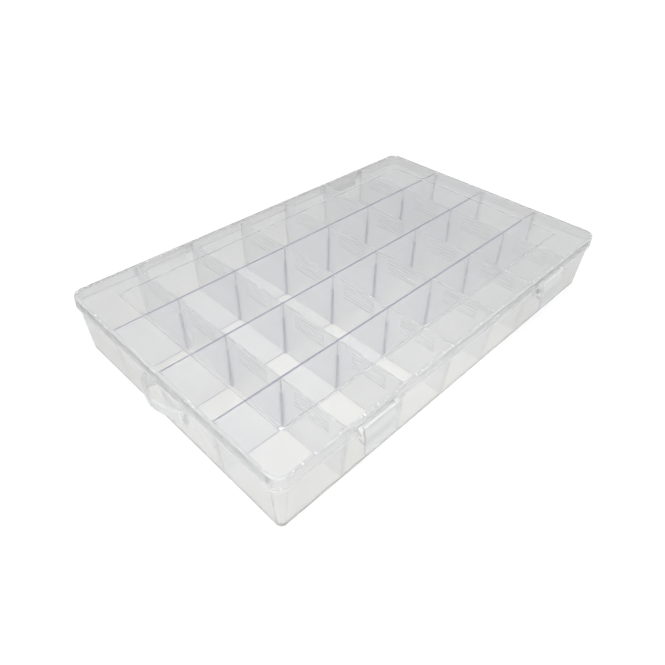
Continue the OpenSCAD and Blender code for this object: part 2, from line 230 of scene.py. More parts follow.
def finish_mesh(piece, body, nodes, slot, material, wear_and_painted_shade=()):
    """Merges what the booleans left, shades flat faces flat and rounds round, goes from
    millimetres to metres, and ties the piece to the frame. Each pair in wear_and_painted_shade
    is a test and a material, a duller finish or a painted shade: faces whose middle, in
    millimetres, passes the test get that material."""
    bm = bmesh.new()
    bm.from_mesh(piece.data)
    bmesh.ops.remove_doubles(bm, verts=bm.verts, dist=2e-3)
    bmesh.ops.dissolve_degenerate(bm, edges=bm.edges, dist=1e-3)
    bm.to_mesh(piece.data)
    bm.free()
    piece.data.transform(Matrix.Scale(MM, 4))
    piece.data.shade_smooth()
    piece.data.set_sharp_from_angle(angle=math.radians(SMOOTH_BELOW))
    weigh = piece.modifiers.new("flat stays flat", "WEIGHTED_NORMAL")
    weigh.keep_sharp = True
    weigh.weight = FLAT_WEIGHT
    old, piece.data = piece.data, evaluated(piece)
    piece.modifiers.remove(weigh)
    bpy.data.meshes.remove(old)
    piece.data.name = piece.name
    piece.data.materials.clear()
    piece.data.materials.append(material)
    for number, (test, finish) in enumerate(wear_and_painted_shade, 1):
        piece.data.materials.append(finish)
        for face in piece.data.polygons:
            if test(*(face.center / MM)):
                face.material_index = number
    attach(piece, body)
    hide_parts(*nodes)
    open_edges = open_count(piece.data)
    print(piece.name, len(piece.data.polygons), "faces, open edges:", open_edges)
    return piece


def open_count(mesh):
    """How many edges don't have exactly two faces. A closed solid has none."""
    uses = [0] * len(mesh.edges)
    for loop in mesh.loops:
        uses[loop.edge_index] += 1
    return sum(1 for n in uses if n != 2)


print("helpers for joining:", combine.__name__, split_at.__name__, finish_mesh.__name__)

# %% [markdown]
# ## An effect that the plastics share: melt clouds
#
# Injection-moulded clear plastic is never quite even. It has faint clouds where the melt
# cooled at different speeds. A picture could hold them, but noise needs no file and has no
# seams. The clouds are a node group with named inputs, built once and placed in each plastic
# with its own values. It reads Object coordinates, so the pattern stays on the piece when
# the lid swings.

# %% Group: melt clouds
def add(tree, kind, values=(), **settings):
    """A node with its settings, and plain values for inputs by their name or number."""
    node = tree.nodes.new(kind)
    for label, value in settings.items():
        setattr(node, label, value)
    for label, value in dict(values).items():
        node.inputs[label].default_value = value
    return node


def group(name, inputs, outputs):
    """An empty shader group with its sockets, and its input and output nodes."""
    tree = bpy.data.node_groups.new(name, "ShaderNodeTree")
    for label, kind, value in inputs:
        socket = tree.interface.new_socket(name=label, in_out="INPUT", socket_type=kind)
        if value is not None:
            socket.default_value = value
    for label, kind in outputs:
        tree.interface.new_socket(name=label, in_out="OUTPUT", socket_type=kind)
    return tree, tree.nodes.new("NodeGroupInput"), tree.nodes.new("NodeGroupOutput")


FLOAT, VECTOR, COLOUR = "NodeSocketFloat", "NodeSocketVector", "NodeSocketColor"

melt_clouds, inside, outside = group(
    "melt clouds",
    [("Vector", VECTOR, None), ("Scale", FLOAT, 40.0), ("Clear Colour", COLOUR, (1, 1, 1, 1)),
     ("Cloud Colour", COLOUR, (0.9, 0.9, 0.9, 1))],
    [("Color", COLOUR), ("Mask", FLOAT)])
noise = add(melt_clouds, "ShaderNodeTexNoise", {"Detail": 3.0, "Distortion": 0.6})
ease = add(melt_clouds, "ShaderNodeMapRange", {"From Min": 0.35, "From Max": 0.7})
tint = add(melt_clouds, "ShaderNodeMix", data_type="RGBA")
link = melt_clouds.links.new
link(inside.outputs["Vector"], noise.inputs["Vector"])
link(inside.outputs["Scale"], noise.inputs["Scale"])
link(noise.outputs["Fac"], ease.inputs["Value"])
link(ease.outputs["Result"], tint.inputs[0])
link(inside.outputs["Clear Colour"], tint.inputs[6])
link(inside.outputs["Cloud Colour"], tint.inputs[7])
link(tint.outputs[2], outside.inputs["Color"])
link(ease.outputs["Result"], outside.inputs["Mask"])
print(melt_clouds.name, "has", len(melt_clouds.nodes), "nodes")

# %% [markdown]
# ## A second shared effect: waviness and rubbing marks
#
# The mould's polish leaves a slow waviness, and handling leaves fine marks that run mostly
# one way. Both could be modelled, but they are far finer than the mesh. One noise gives the
# height of the waves, and a stretched one picks the marks, which are rougher and stand a
# little higher.

# %% Group: mould waviness and rubbing marks
surface_marks, inside, outside = group(
    "surface marks",
    [("Vector", VECTOR, None), ("Wave Scale", FLOAT, 45.0), ("Mark Scale", FLOAT, 900.0),
     ("Smooth", FLOAT, 0.03), ("Rubbed", FLOAT, 0.1)],
    [("Height", FLOAT), ("Roughness", FLOAT)])
waves = add(surface_marks, "ShaderNodeTexNoise", {"Detail": 1.0})
stretch = add(surface_marks, "ShaderNodeMapping",
              {"Scale": (1.0, 0.12, 1.0), "Rotation": (0.0, 0.0, 0.5)})
marks = add(surface_marks, "ShaderNodeTexNoise", {"Detail": 2.0})
pick = add(surface_marks, "ShaderNodeMapRange", {"From Min": 0.58, "From Max": 0.8})
rough = add(surface_marks, "ShaderNodeMix")
MARK_HEIGHT = 0.012
blend_up = add(surface_marks, "ShaderNodeMath", {1: MARK_HEIGHT}, operation="MULTIPLY_ADD")
link = surface_marks.links.new
link(inside.outputs["Vector"], waves.inputs["Vector"])
link(inside.outputs["Wave Scale"], waves.inputs["Scale"])
link(inside.outputs["Vector"], stretch.inputs["Vector"])
link(stretch.outputs["Vector"], marks.inputs["Vector"])
link(inside.outputs["Mark Scale"], marks.inputs["Scale"])
link(marks.outputs["Fac"], pick.inputs["Value"])
link(pick.outputs["Result"], rough.inputs[0])
link(inside.outputs["Smooth"], rough.inputs[2])
link(inside.outputs["Rubbed"], rough.inputs[3])
link(pick.outputs["Result"], blend_up.inputs[0])
link(waves.outputs["Fac"], blend_up.inputs[2])
link(blend_up.outputs[0], outside.inputs["Height"])
link(rough.outputs[0], outside.inputs["Roughness"])
print(surface_marks.name, "has", len(surface_marks.nodes), "nodes")

# %% [markdown]
# ## The plastics
#
# The photo shows the box a little milky, so each plastic is a Principled shader that is
# partly clear and partly matt: Transmission Weight says how much goes through. Its colour is
# just below white, because each wall takes some of the light, and that turns the box pale
# grey on a white table. A path tracer hardly finds a lamp through bent glass. For shadow
# rays the material is therefore a plain tinted window, which lets most of the light through
# where the light meets it squarely and less where it grazes.

# %% The plastic material
WAVE_DEPTH, WINDOW_TINT = 0.0012, 0.4
FOOT_LOW, FOOT_HIGH = 0.003, 0.024


def plastic(name, clear, cloud, through, ior, smooth, rubbed, scale, shade, seed,
            wavy=0.2, foot=None):
    """clear and cloud are the colours between the clouds and in them. through is the clear
    share. smooth and rubbed are the roughness beside the marks and on them. scale is that
    of the clouds, shade the window's grey where light grazes, seed moves the pattern, and
    wavy is the waves' strength. foot is a colour that the wall takes on near the table."""
    mat = bpy.data.materials.new(name)
    mat.use_nodes = True
    tree = mat.node_tree
    link, shader = tree.links.new, tree.nodes["Principled BSDF"]
    shader.inputs["Transmission Weight"].default_value = through
    shader.inputs["IOR"].default_value = ior
    where = add(tree, "ShaderNodeTexCoord")
    shift = add(tree, "ShaderNodeMapping", {"Location": (seed, 0.37 * seed, 0.11 * seed)})
    clouds = add(tree, "ShaderNodeGroup", {
        "Scale": scale, "Clear Colour": (*clear, 1), "Cloud Colour": (*cloud, 1)},
        node_tree=melt_clouds)
    link(where.outputs["Object"], shift.inputs["Vector"])
    link(shift.outputs["Vector"], clouds.inputs["Vector"])
    colour = clouds.outputs["Color"]
    if foot:
        split = add(tree, "ShaderNodeSeparateXYZ")
        low = add(tree, "ShaderNodeMapRange", {
            "From Min": FOOT_LOW, "From Max": FOOT_HIGH, "To Min": 1.0, "To Max": 0.0})
        warm = add(tree, "ShaderNodeMix", {7: (*foot, 1)}, data_type="RGBA",
                   blend_type="MULTIPLY")
        link(where.outputs["Object"], split.inputs[0])
        link(split.outputs["Z"], low.inputs["Value"])
        link(low.outputs["Result"], warm.inputs[0])
        link(colour, warm.inputs[6])
        colour = warm.outputs[2]
    link(colour, shader.inputs["Base Color"])
    marks = add(tree, "ShaderNodeGroup", {"Smooth": smooth, "Rubbed": rubbed},
                node_tree=surface_marks)
    bump = add(tree, "ShaderNodeBump", {"Strength": wavy, "Distance": WAVE_DEPTH})
    link(shift.outputs["Vector"], marks.inputs["Vector"])
    link(marks.outputs["Roughness"], shader.inputs["Roughness"])
    link(marks.outputs["Height"], bump.inputs["Height"])
    link(bump.outputs["Normal"], shader.inputs["Normal"])
    facing = add(tree, "ShaderNodeLayerWeight", {"Blend": 0.25})
    veil = add(tree, "ShaderNodeMix", {
        6: (*[c ** WINDOW_TINT for c in clear], 1), 7: (shade, shade, shade, 1)},
        data_type="RGBA")
    window = add(tree, "ShaderNodeBsdfTransparent")
    path = add(tree, "ShaderNodeLightPath")
    swap = add(tree, "ShaderNodeMixShader")
    link(facing.outputs["Facing"], veil.inputs[0])
    link(veil.outputs[2], window.inputs["Color"])
    link(path.outputs["Is Shadow Ray"], swap.inputs[0])
    link(shader.outputs[0], swap.inputs[1])
    link(window.outputs[0], swap.inputs[2])
    link(swap.outputs[0], tree.nodes["Material Output"].inputs["Surface"])
    return mat


tray_plastic = plastic(
    "clear tray plastic", clear=(0.95, 0.95, 0.95), cloud=(0.935, 0.93, 0.915),
    through=0.78, ior=1.46, smooth=0.06, rubbed=0.14, scale=22, shade=0.9, seed=3.1,
    foot=(1.0, 0.998, 0.985))
lid_plastic = plastic(
    "clear lid plastic", clear=(0.955, 0.955, 0.955), cloud=(0.94, 0.94, 0.94),
    through=0.95, ior=1.46, smooth=0.02, rubbed=0.07, scale=18, shade=0.9, seed=5.7,
    wavy=0.08)
latch_plastic = plastic(
    "clear latch plastic", clear=(0.965, 0.965, 0.965), cloud=(0.95, 0.95, 0.95),
    through=0.62, ior=1.49, smooth=0.14, rubbed=0.22, scale=60, shade=0.9, seed=7.9)
violet_plastic = plastic(
    "violet tinted divider plastic", clear=(0.957, 0.957, 0.973), cloud=(0.942, 0.942, 0.962),
    through=0.90, ior=1.49, smooth=0.08, rubbed=0.18, scale=30, shade=0.92, seed=1.3)
# Painted shade: a darker violet for the long dividers' upper and lower edges, standing in for
# the deeper colour of light's longer path through the tint.
violet_edge_painted_shade = plastic(
    "violet edge plastic with painted shade", clear=(0.52, 0.52, 0.66), cloud=(0.46, 0.46, 0.61),
    through=0.50, ior=1.49, smooth=0.15, rubbed=0.3, scale=60, shade=0.85, seed=2.2)
# Painted shade: a darker violet for the tips of the long dividers' ribs.
violet_rib_painted_shade = plastic(
    "violet rib plastic with painted shade", clear=(0.76, 0.76, 0.84), cloud=(0.70, 0.70, 0.80),
    through=0.60, ior=1.49, smooth=0.15, rubbed=0.3, scale=60, shade=0.85, seed=7.2)
# Painted shade: dark grey for the short dividers' foot, where they stand on the tray's floor.
foot_painted_shade = plastic(
    "clear foot plastic with painted shade", clear=(0.62, 0.62, 0.64), cloud=(0.55, 0.55, 0.58),
    through=0.50, ior=1.49, smooth=0.15, rubbed=0.3, scale=60, shade=0.85, seed=6.1)
divider_plastic = plastic(
    "clear divider plastic", clear=(0.975, 0.975, 0.978), cloud=(0.96, 0.96, 0.965),
    through=0.70, ior=1.49, smooth=0.15, rubbed=0.24, scale=30, shade=0.92, seed=9.2)
rubbed_plastic = plastic(
    "rubbed edge plastic", clear=(0.97, 0.97, 0.975), cloud=(0.95, 0.95, 0.955),
    through=0.45, ior=1.46, smooth=0.25, rubbed=0.35, scale=60, shade=0.85, seed=4.4)
print("plastics:", [m.name for m in bpy.data.materials if "plastic" in m.name])

# %% [markdown]
# ## The tray's shell
#
# The tray is one moulding. Its wall leans in by 2.3 mm towards the floor, flares out under
# the lid's skirt to carry a ledge, and goes on up as a thin rim inside the skirt. One stack
# of rings makes it: up the outside from a flat underside, over the rim, and down the inside
# to the floor. Solidify could give a wall its thickness too, but here the inside has its own
# radii. Small arcs replace the sharp edges, since an edge in clear plastic shows as a bright
# or dark line only if it is round.

# %% Outside and inside rings of the tray
def arc(cx, cz, radius, start, end, steps):
    """Points (across, z) of an arc, with angles in degrees."""
    return [(cx + radius * math.cos(math.radians(start + (end - start) * k / steps)),
             cz + radius * math.sin(math.radians(start + (end - start) * k / steps)))
            for k in range(steps + 1)]


def tray_ring(inset, z, radius):
    """A ring inside the rim's outline by inset, on both sides."""
    return ring(RIM_L - 2 * inset, RIM_W - 2 * inset, radius, z)


FOOT, FOOT_R = 1.2, 4.0
FLARE_LOW = 33.5
FLARE = ((0.15, 34.6), (-0.15, 35.4), (-0.8, 37.3), (-0.95, 37.75), (-1.0, 38.1), (-1.0, 38.8),
         (-0.9, 39.1), (-0.6, LEDGE_Z), (-0.15, LEDGE_Z))
RIM_OUT = ((0.0, 39.35), (0.0, 43), (0.0, 46.4), (0.1, 46.8), (0.35, TRAY_H))
RIM_IN = ((WALL - 0.35, TRAY_H), (WALL - 0.1, 46.8), (WALL, 46.4), (WALL, 43), (WALL, LEDGE_Z))
COVE, COVE_R = 2.0, 2.9
COVE_IN = WALL + lean_in(FLOOR + COVE)
rings = []
for across, z in arc(lean_in(0) + FOOT, FOOT, FOOT, 270, 180, 5):
    rings.append(tray_ring(across, z, FOOT_R - (across - lean_in(0))))
for z in (10, 18, 26, FLARE_LOW):
    rings.append(tray_ring(lean_in(z), z, FOOT_R + (RIM_R - FOOT_R) * z / FLARE_LOW))
for across, z in FLARE + RIM_OUT + RIM_IN:
    rings.append(tray_ring(across, z, RIM_R - across))
for z in (30, 20, 10):
    rings.append(tray_ring(WALL + lean_in(z), z, 2.7 + 3.4 * z / LEDGE_Z))
for across, z in arc(COVE_IN + COVE, FLOOR + COVE, COVE, 180, 270, 6):
    rings.append(tray_ring(across, z, max(0.7, COVE_R - (across - COVE_IN))))
tray = shell("tray", rings)
print("tray shell:", len(tray.data.polygons), "faces")

# %% [markdown]
# ## A tree for the ribs on the walls
#
# Each divider end drops between two ribs. The same pair comes back at every pitch along a
# wall, and again on the wall across. An Array modifier could do one row, but a Geometry
# Nodes tree does all: a line of points one pitch apart, two copies of the rib on each, and
# the whole row turned half round for the other wall. Turning is used instead of mirroring,
# which would turn the ribs inside out.

# %% Tree: pairs of ribs along two walls
def geometry_tree(name, inputs):
    """An empty geometry tree, the identifiers of its inputs, and its end nodes."""
    tree = bpy.data.node_groups.new(name, "GeometryNodeTree")
    ids = {}
    tree.interface.new_socket(name="Geometry", in_out="OUTPUT",
                              socket_type="NodeSocketGeometry")
    for label, kind in [("Geometry", "NodeSocketGeometry")] + inputs:
        ids[label] = tree.interface.new_socket(name=label, in_out="INPUT",
                                               socket_type=kind).identifier
    return tree, ids, tree.nodes.new("NodeGroupInput"), tree.nodes.new("NodeGroupOutput")


def in_pairs(tree, inside, line):
    """Two copies of a line of points, half the tree's Pair to each side of it."""
    link, both = tree.links.new, add(tree, "GeometryNodeJoinGeometry")
    for sign in (-0.5, 0.5):
        half = add(tree, "ShaderNodeVectorMath", {"Scale": sign}, operation="SCALE")
        move = add(tree, "GeometryNodeTransform")
        link(inside.outputs["Pair"], half.inputs[0])
        link(line.outputs[0], move.inputs["Geometry"])
        link(half.outputs[0], move.inputs["Translation"])
        link(move.outputs[0], both.inputs[0])
    return both


def run_tree(piece, tree, ids, values):
    """Runs a tree on the piece once and keeps the result as its plain mesh."""
    step = piece.modifiers.new(tree.name, "NODES")
    step.node_group = tree
    for label, value in values.items():
        step[ids[label]] = value
    old, piece.data = piece.data, evaluated(piece)
    piece.modifiers.remove(step)
    bpy.data.meshes.remove(old)
    return piece


wall_rows, wall_ids, inside, outside = geometry_tree("rib pairs along two walls", [
    ("Count", "NodeSocketInt"), ("Step", "NodeSocketVector"), ("Pair", "NodeSocketVector"),
    ("Material", "NodeSocketMaterial")])
link = wall_rows.links.new
less = add(wall_rows, "ShaderNodeMath", {1: -0.5, 2: 0.5}, operation="MULTIPLY_ADD")
link(inside.outputs["Count"], less.inputs[0])
first = add(wall_rows, "ShaderNodeVectorMath", operation="SCALE")
link(inside.outputs["Step"], first.inputs[0])
link(less.outputs[0], first.inputs["Scale"])
line = add(wall_rows, "GeometryNodeMeshLine")
link(inside.outputs["Count"], line.inputs["Count"])
link(first.outputs[0], line.inputs["Start Location"])
link(inside.outputs["Step"], line.inputs["Offset"])
both = in_pairs(wall_rows, inside, line)
copies = add(wall_rows, "GeometryNodeInstanceOnPoints")
link(both.outputs[0], copies.inputs["Points"])
link(inside.outputs["Geometry"], copies.inputs["Instance"])
turned = add(wall_rows, "GeometryNodeTransform", {"Rotation": (0, 0, math.pi)})
link(copies.outputs[0], turned.inputs["Geometry"])
walls = add(wall_rows, "GeometryNodeJoinGeometry")
link(copies.outputs[0], walls.inputs[0])
link(turned.outputs[0], walls.inputs[0])
real = add(wall_rows, "GeometryNodeRealizeInstances")
dress = add(wall_rows, "GeometryNodeSetMaterial")
link(walls.outputs[0], real.inputs[0])
link(real.outputs[0], dress.inputs["Geometry"])
link(inside.outputs["Material"], dress.inputs["Material"])
link(dress.outputs[0], outside.inputs[0])
print(wall_rows.name, "has", len(wall_rows.nodes), "nodes")

# %% [markdown]
# ## The ribs on the walls
#
# Side by side, two ribs leave a slot that is a little wider than a divider. Each rib stands
# on the floor, follows the leaning wall, and ends below the rim, so that the lid can close.
# One rib for the long walls and one for the ends are enough, because the tree repeats them.

# %% Place the ribs on the walls
RIB_T, RIB_D, RIB_SOFT = 1.0, 1.4, 0.18
RIB_LOW, RIB_TOP = FLOOR - 0.4, DIV_TOP - 1


def rib_outline(half):
    """The rib's side view on a wall, as (distance from the middle, z)."""
    low = half - lean_in(RIB_LOW) - WALL
    high = half - WALL
    return [(low - RIB_D, RIB_LOW), (low + WALL / 2, RIB_LOW), (high + WALL / 2, LEDGE_Z),
            (high + WALL / 2, RIB_TOP), (high - RIB_D, RIB_TOP), (high - RIB_D, LEDGE_Z)]


def slot_pair(thickness):
    """From the middle of one rib to the middle of the other, with a divider between."""
    return thickness + 2 * SLOT + RIB_T


side_rib = prism("side rib", [(-a, z) for a, z in rib_outline(RIM_W / 2)], "x",
                 -RIB_T / 2, RIB_T / 2, soft=RIB_SOFT)
run_tree(side_rib, wall_rows, wall_ids, {
    "Count": COLS - 1, "Step": (PITCH_X, 0, 0), "Pair": (slot_pair(SHORT_T), 0, 0),
    "Material": tray_plastic})
end_rib = prism("end rib", [(-a, z) for a, z in rib_outline(RIM_L / 2)], "y",
                -RIB_T / 2, RIB_T / 2, soft=RIB_SOFT)
run_tree(end_rib, wall_rows, wall_ids, {
    "Count": ROWS - 1, "Step": (0, PITCH_Y, 0), "Pair": (0, slot_pair(LONG_T), 0),
    "Material": tray_plastic})
print("ribs on the walls:", len(side_rib.data.polygons) + len(end_rib.data.polygons), "faces")

# %% [markdown]
# ## The hanging loop
#
# The loop on the left end is a band bent into a bow, for a hook or a finger. It could be a
# curve with a section swept along it, but its two sides have different plans. So each is an
# oval drawn with a power of sine and cosine, which gives the flat front and the tight
# shoulders of the real one. Its lower edge rises outwards, as the photo shows.

# %% The loop's band
BOW_POWER = 1.25


def bow(half, out, steps=40):
    """Plan of the loop, growing from the wall."""
    points = []
    for k in range(steps + 1):
        a = math.pi * k / steps
        c = math.cos(a)
        points.append((out * max(0.0, math.sin(a)) ** BOW_POWER,
                       half * math.copysign(abs(c) ** BOW_POWER, c)))
    return points


LOOP_HALF, LOOP_OUT, LOOP_T, LOOP_TOP, LOOP_H = 24.0, 9.6, 2.1, 31.0, 11.5
LOOP_RISE, RISE_OVER = 5.0, 8.0
root = RIM_L / 2 - lean_in(LOOP_TOP - LOOP_H) - WALL / 2
outer = bow(LOOP_HALF, LOOP_OUT + WALL / 2)
inner = bow(LOOP_HALF - 1.9 * LOOP_T, LOOP_OUT + WALL / 2 - LOOP_T)
band = [(-root - a, b) for a, b in outer] + [(-root - a, b) for a, b in inner[::-1]]
loop = prism("loop", band, "z", LOOP_TOP - LOOP_H, LOOP_TOP, soft=0.35, steps=3, sharp=50)
for vertex in loop.data.vertices:
    if vertex.co.z < LOOP_TOP - LOOP_H / 2:
        vertex.co.z += LOOP_RISE * min(1.0, max(0.0, -root - vertex.co.x) / RISE_OVER)
print("the loop reaches past the rim by, mm:", round(root + LOOP_OUT + WALL / 2 - RIM_L / 2, 1))


def on_loop(x, y, z):
    """The loop, dulled by the hook that it hangs on."""
    return x < -RIM_L / 2 - 1.15 and z < LOOP_TOP + 1


def at_loop_end(x, y, z):
    """The two ends of the loop, where it leaves the wall."""
    off_wall = -RIM_L / 2 - 3.5 < x < -RIM_L / 2 + lean_in(z) - 0.1
    return off_wall and abs(y) > LOOP_HALF - 3 and abs(z - LOOP_TOP + LOOP_H / 2) < LOOP_H / 2


def on_rim_or_ledge(x, y, z):
    """The top of the rim and of the ledge, rubbed by the lid at the front and the ends."""
    outside_rim = abs(x) > RIM_L / 2 - 0.05 or abs(y) > RIM_W / 2 - 0.05
    on_ledge = outside_rim and LEDGE_Z - 0.25 < z < LEDGE_Z + 0.1
    return (z > TRAY_H - 0.45 or on_ledge) and y < RIM_W / 2 - 3


# %% [markdown]
# ## Hinge clips and catches
#
# There is no loose pin in the hinge. The lid's rod snaps into open tubes on the tray, and
# the latches hook under two bars at the front. A tube could be cut from blocks, but faces
# that fall together spoil a boolean, so the clip is one outline that runs round foot, tube
# and bore. Everything is then joined to the tray, which gets its duller finish on the loop
# and where the lid rubs.

# %% The clips and the catches
HINGE_X, CLIP_W, ROD_R, CLIP_R, SNAP = 97.0, 34.0, 1.5, 2.9, 0.08
HINGE_Y, HINGE_Z = LID_W / 2 + 2.4, SKIRT_LOW + 0.8
CLIP_FOOT_LOW, CLIP_FOOT_TOP = 33.4, LEDGE_Z - 0.15


def hinge_clip(x):
    """The clip's side view in one line: out along the foot's top, round the open tube and
    its bore, and back under the foot. Its mouth faces out and up."""
    def on_circle(radius, angle):
        return (HINGE_Y + radius * math.cos(math.radians(angle)),
                HINGE_Z + radius * math.sin(math.radians(angle)))
    bore, wall = ROD_R + SNAP, RIM_W / 2 - WALL / 2
    outline = [(wall, CLIP_FOOT_TOP), (wall, CLIP_FOOT_LOW)]
    outline += [on_circle(CLIP_R, a) for a in range(-53, 19, 9)]
    outline += [on_circle(bore, -4.4 - k * 10) for k in range(27)]
    outline += [on_circle(CLIP_R, a) for a in range(72, 206, 10)]
    outline.append((HINGE_Y - 2.617, CLIP_FOOT_TOP))
    return prism("clip", outline, "x", x - CLIP_W / 2, x + CLIP_W / 2, sharp=40)


LATCH_X, CATCH_W, CATCH_DROP = 98.0, 24.0, 8.0
LEDGE_W = LID_W - 1.2


def catch(x):
    """The bar that a latch hooks under, hanging from the ledge."""
    low = LEDGE_Z - CATCH_DROP
    return prism("catch", [
        (-(RIM_W / 2 - lean_in(low) - WALL / 2), low),
        (-(RIM_W / 2 - WALL / 2), LEDGE_Z - 0.4),
        (-LEDGE_W / 2 + 0.1, LEDGE_Z - 0.4), (-LEDGE_W / 2, low)],
        "x", x - CATCH_W / 2, x + CATCH_W / 2, soft=0.25)


parts = [side_rib, end_rib, loop] + [hinge_clip(x) for x in (-HINGE_X, HINGE_X)]
combine(tray, parts + [catch(x) for x in (-LATCH_X, LATCH_X)])
finish_mesh(tray, "base", ["base_tray"], "tray_plastic", tray_plastic,
            [(on_loop, latch_plastic), (at_loop_end, rubbed_plastic),
             (on_rim_or_ledge, rubbed_plastic)])

# %% [markdown]
# ## The lid
#
# The lid is a shallow cover with a skirt, a rounded upper edge and a raised rectangular
# panel, hollow underneath so that the plate keeps one thickness. It is one more stack of
# rings, this time from the skirt's lower edge over the top to the panel, with a second
# stack below it for the underside. The panel's step is drawn with seven rings instead of a
# bevel, so that its bright line is as soft as in the photo.

# %% The lid's shell
def lid_ring(inset, z, radius):
    """A ring inside the lid's outline by inset, on all sides."""
    return ring(LID_L - 2 * inset, LID_W - 2 * inset, radius, z)


rings = [lid_ring(SKIRT_T - 0.3, SKIRT_LOW, LID_R - SKIRT_T + 0.3),
         lid_ring(0.3, SKIRT_LOW, LID_R - 0.3), lid_ring(0.08, SKIRT_LOW + 0.1, LID_R - 0.08),
         lid_ring(0.0, SKIRT_LOW + 0.35, LID_R), lid_ring(LEAN / 2, SKIRT_LOW + 4, LID_R)]
for across, z in arc(LEAN + EDGE, PLATE_TOP - EDGE, EDGE, 180, 90, 7):
    rings.append(lid_ring(across, z, LID_R - (across - LEAN)))
STEP_ROUND = ((-0.3, 0.0), (-0.05, 0.06), (0.12, 0.25), (0.24, 0.48), (0.42, 0.68),
              (0.68, 0.78), (0.95, PANEL_H))
for across, up in STEP_ROUND:
    rings.append(lid_ring(PANEL_IN - 0.3 + across, PLATE_TOP + up, PANEL_R + 0.3 - across))
under = [lid_ring(PANEL_IN + LID_T, PLATE_LOW + PANEL_H, PANEL_R - LID_T),
         lid_ring(PANEL_IN + LID_T, PLATE_LOW + 0.1, PANEL_R - LID_T),
         lid_ring(PANEL_IN + LID_T - 0.1, PLATE_LOW, PANEL_R - LID_T + 0.1)]
for across, z in arc(SKIRT_T + 0.7, PLATE_LOW - 0.7, 0.7, 90, 180, 4):
    under.append(lid_ring(across, z, LID_R - across))
under.append(lid_ring(SKIRT_T, SKIRT_LOW + 0.3, LID_R - SKIRT_T))
lid = shell("lid_shell", under + rings)
print("lid shell:", len(lid.data.polygons), "faces")

# %% [markdown]
# ## What the lid needs to turn and to latch
#
# The skirt has a gap at each clip and each latch. On both sides of a gap stands an arm or a
# lug, and a rod runs between the two, so the lid carries all four rods. They are joined to
# the lid before anything is shaded. The arms and the skirt's lower edge get a duller
# finish, since they rub and the lid stands on that edge when it is put down.

# %% Gaps in the skirt, hinge arms and latch lugs
SIDE, GAP_LOW = 0.4, SKIRT_LOW - 1
LATCH_W, PIVOT_R, BARREL_R = 27.0, 1.0, 1.9
PIVOT_Y, PIVOT_Z = -(LID_W / 2 + 0.8), SKIRT_LOW + 1.3
CLIP_GAP_H, LATCH_GAP_H = CLIP_R + 2.8, BARREL_R + 2.9
ARM_LONG, LUG_LONG, ROD_GRIP = 8, 3, 1


def gap(x, wide, y_low, y_high, height):
    """A block that is cut out of the skirt."""
    return prism("gap", [(y_low, GAP_LOW), (y_high, GAP_LOW), (y_high, GAP_LOW + height),
                         (y_low, GAP_LOW + height)], "x", x - wide / 2, x + wide / 2, soft=0)


combine(lid, [gap(x, CLIP_W + 2 * SIDE, LID_W / 2 - SKIRT_T - 1, LID_W / 2 + 1, CLIP_GAP_H)
              for x in (-HINGE_X, HINGE_X)]
        + [gap(x, LATCH_W + 2 * SIDE, -LID_W / 2 - 1, -LID_W / 2 + SKIRT_T + 1, LATCH_GAP_H)
           for x in (-LATCH_X, LATCH_X)], "DIFFERENCE")


def hinge_arm(low, high):
    """One of the two arms that hold a hinge's rod behind the skirt."""
    outline = [(LID_W / 2 - SKIRT_T / 2, SKIRT_LOW + 0.3)]
    outline += arc(HINGE_Y, HINGE_Z, CLIP_R - 0.4, -100, 55, 14)
    outline += [(LID_W / 2 - LEAN / 2, SKIRT_LOW + 6.5),
                (LID_W / 2 - SKIRT_T / 2, SKIRT_LOW + 6.5)]
    return prism("arm", outline, "x", low, high, soft=0.3, sharp=40)


def latch_lug(low, high):
    """One of the two lugs that hold a latch's rod before the skirt."""
    outline = [(-(LID_W / 2 - SKIRT_T / 2), SKIRT_LOW + 0.4),
               (-(LID_W / 2 - SKIRT_T / 2), PIVOT_Z + 3.0),
               (-(LID_W / 2 - LEAN / 2), PIVOT_Z + 3.0)]
    outline += arc(PIVOT_Y, PIVOT_Z, BARREL_R - 0.3, 125, 290, 12)
    return prism("lug", outline, "x", low, high, soft=0.25, sharp=40)


pieces = []
for x in (-HINGE_X, HINGE_X):
    reach = CLIP_W / 2 + SIDE
    pieces += [hinge_arm(x - reach - ARM_LONG, x - reach),
               hinge_arm(x + reach, x + reach + ARM_LONG),
               rod("rod", HINGE_Y, HINGE_Z, ROD_R, x - reach - ROD_GRIP, x + reach + ROD_GRIP)]
for x in (-LATCH_X, LATCH_X):
    reach = LATCH_W / 2 + SIDE
    pieces += [latch_lug(x - reach - LUG_LONG, x - reach),
               latch_lug(x + reach, x + reach + LUG_LONG),
               rod("rod", PIVOT_Y, PIVOT_Z, PIVOT_R, x - reach - ROD_GRIP,
                   x + reach + ROD_GRIP)]
combine(lid, pieces)


def on_arm(x, y, z):
    """The small arms and rods of the hinges and the latches, dulled by the lid's moves."""
    return y > LID_W / 2 + 0.1 or y < -LID_W / 2 - 0.1


def on_skirt_foot(x, y, z):
    """The skirt's lower edge at the front and the ends."""
    return z < SKIRT_LOW + 0.25 and y < LID_W / 2 - 3


finish_mesh(lid, "lid", ["lid"], "lid_plastic", lid_plastic,
            [(on_skirt_foot, rubbed_plastic), (on_arm, latch_plastic)])

# %% [markdown]
# ## The latches
#
# A latch hangs from its rod, slopes outwards under the barrel, and runs down to a foot that
# a fingernail can pull. Its hook reaches under the catch. It could be built from plates,
# but one outline seen from the side holds all of that without seams. The bore with its
# narrow slot lets the latch snap onto the rod, so both are cut out at the end.

# %% One latch
FACE = -PIVOT_Y + BARREL_R + 1.6
BEND = PIVOT_Z - 6.0
HOOK_TOP = LEDGE_Z - CATCH_DROP - 0.3
HOOK_TIP = LEDGE_W / 2 - 1.0
LATCH_T, LATCH_DROP = 1.6, 20.0


